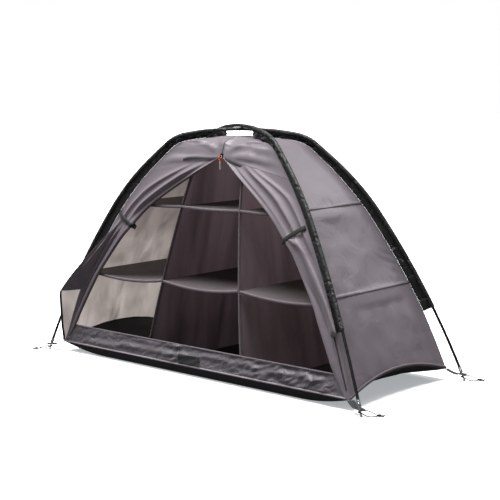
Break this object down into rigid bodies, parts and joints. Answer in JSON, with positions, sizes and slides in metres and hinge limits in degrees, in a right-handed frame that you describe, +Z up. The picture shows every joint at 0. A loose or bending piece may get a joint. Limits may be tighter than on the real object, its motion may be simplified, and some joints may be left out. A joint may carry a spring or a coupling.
{
  "type": "folding camping cupboard",
  "caption": "Pop-up camping cupboard: two crossed arch poles hold a fabric body with dividers, shelves and two tied-back door flaps.",
  "frame": {"origin": "on the ground, in the middle of the rectangle that the four pole feet make", "axes": "+X along the front to the right, +Y from the doorway to the back, +Z up"},
  "size_m": [1.4177, 0.595, 0.7576],
  "materials": {
    "pole": "black fibreglass, satin",
    "ferrule": "drawn steel tube",
    "tip": "bright plated",
    "cord": "braided cord",
    "sleeve": "black coated cloth with a slight sheen",
    "floor": "coated ground sheet",
    "fabric": "grey polyester taffeta",
    "inner": "grey polyester taffeta",
    "webbing": "black woven tape",
    "pull": "orange cord with a moulded grip"
  },
  "bodies": {
    "cupboard": {"pole_a_1": "pole", "pole_a_2": "pole", "pole_a_3": "pole", "pole_a_4": "pole", "pole_a_5": "pole", "pole_b_1": "pole", "pole_b_2": "pole", "pole_b_3": "pole", "pole_b_4": "pole", "pole_b_5": "pole", "ferrule_a_front": "ferrule", "ferrule_a_back": "ferrule", "elbow_a_front": "ferrule", "elbow_a_back": "ferrule", "ferrule_b_front": "ferrule", "ferrule_b_back": "ferrule", "elbow_b_front": "ferrule", "elbow_b_back": "ferrule", "pole_tip_front_left": "tip", "pole_tip_front_right": "tip", "pole_tip_back_left": "tip", "pole_tip_back_right": "tip", "shock_cord_a": "cord", "shock_cord_b": "cord", "sleeve_a": "sleeve", "sleeve_b": "sleeve", "floor_sheet": "floor", "front_sill": "fabric", "back_panel": "fabric", "left_side_panel": "fabric", "right_side_panel": "fabric", "front_header": "fabric", "left_divider": "inner", "right_divider": "inner", "upper_shelf_left": "inner", "upper_shelf_centre": "inner", "upper_shelf_right": "inner", "middle_shelf_left": "inner", "middle_shelf_centre": "inner", "middle_shelf_right": "inner", "corner_strap_front_left": "webbing", "corner_strap_front_right": "webbing", "corner_strap_back_left": "webbing", "corner_strap_back_right": "webbing", "eyelet_front_left": "tip", "eyelet_front_right": "tip", "eyelet_back_left": "tip", "eyelet_back_right": "tip", "stake_loop_front_left": "cord", "stake_loop_front_right": "cord", "stake_loop_back_left": "cord", "stake_loop_back_right": "cord", "zipper_slider": "ferrule"},
    "left_flap": {"left_door": "fabric", "left_tie_rear": "webbing"},
    "right_flap": {"right_door": "fabric", "right_tie_rear": "webbing"},
    "left_tie_strap": {"left_tie": "webbing"},
    "right_tie_strap": {"right_tie": "webbing"},
    "zip_pull": {"zipper_pull": "pull"}
  },
  "joints": [
    {"name": "left_door_swing", "type": "hinge", "parent": "cupboard", "child": "left_flap", "pos_m": [-0.47386, -0.18234, 0.33586], "axis": [-0.4708, -0.1812, -0.8634], "range_deg": [0, 30]},
    {"name": "right_door_swing", "type": "hinge", "parent": "cupboard", "child": "right_flap", "pos_m": [0.47386, -0.18234, 0.33586], "axis": [-0.4708, 0.1812, 0.8634], "range_deg": [0, 30]},
    {"name": "left_tie_opening", "type": "hinge", "parent": "left_flap", "child": "left_tie_strap", "pos_m": [-0.38813, -0.16015, 0.476], "axis": [-0.5057, -0.1957, -0.8402], "range_deg": [0, 100]},
    {"name": "right_tie_opening", "type": "hinge", "parent": "right_flap", "child": "right_tie_strap", "pos_m": [0.38813, -0.16015, 0.476], "axis": [-0.5057, 0.1957, 0.8402], "range_deg": [0, 100]},
    {"name": "zip_pull_swing", "type": "hinge", "parent": "cupboard", "child": "zip_pull", "pos_m": [0.01, -0.09693, 0.66431], "axis": [-1, 0, 0], "range_deg": [0, 150]}
  ]
}
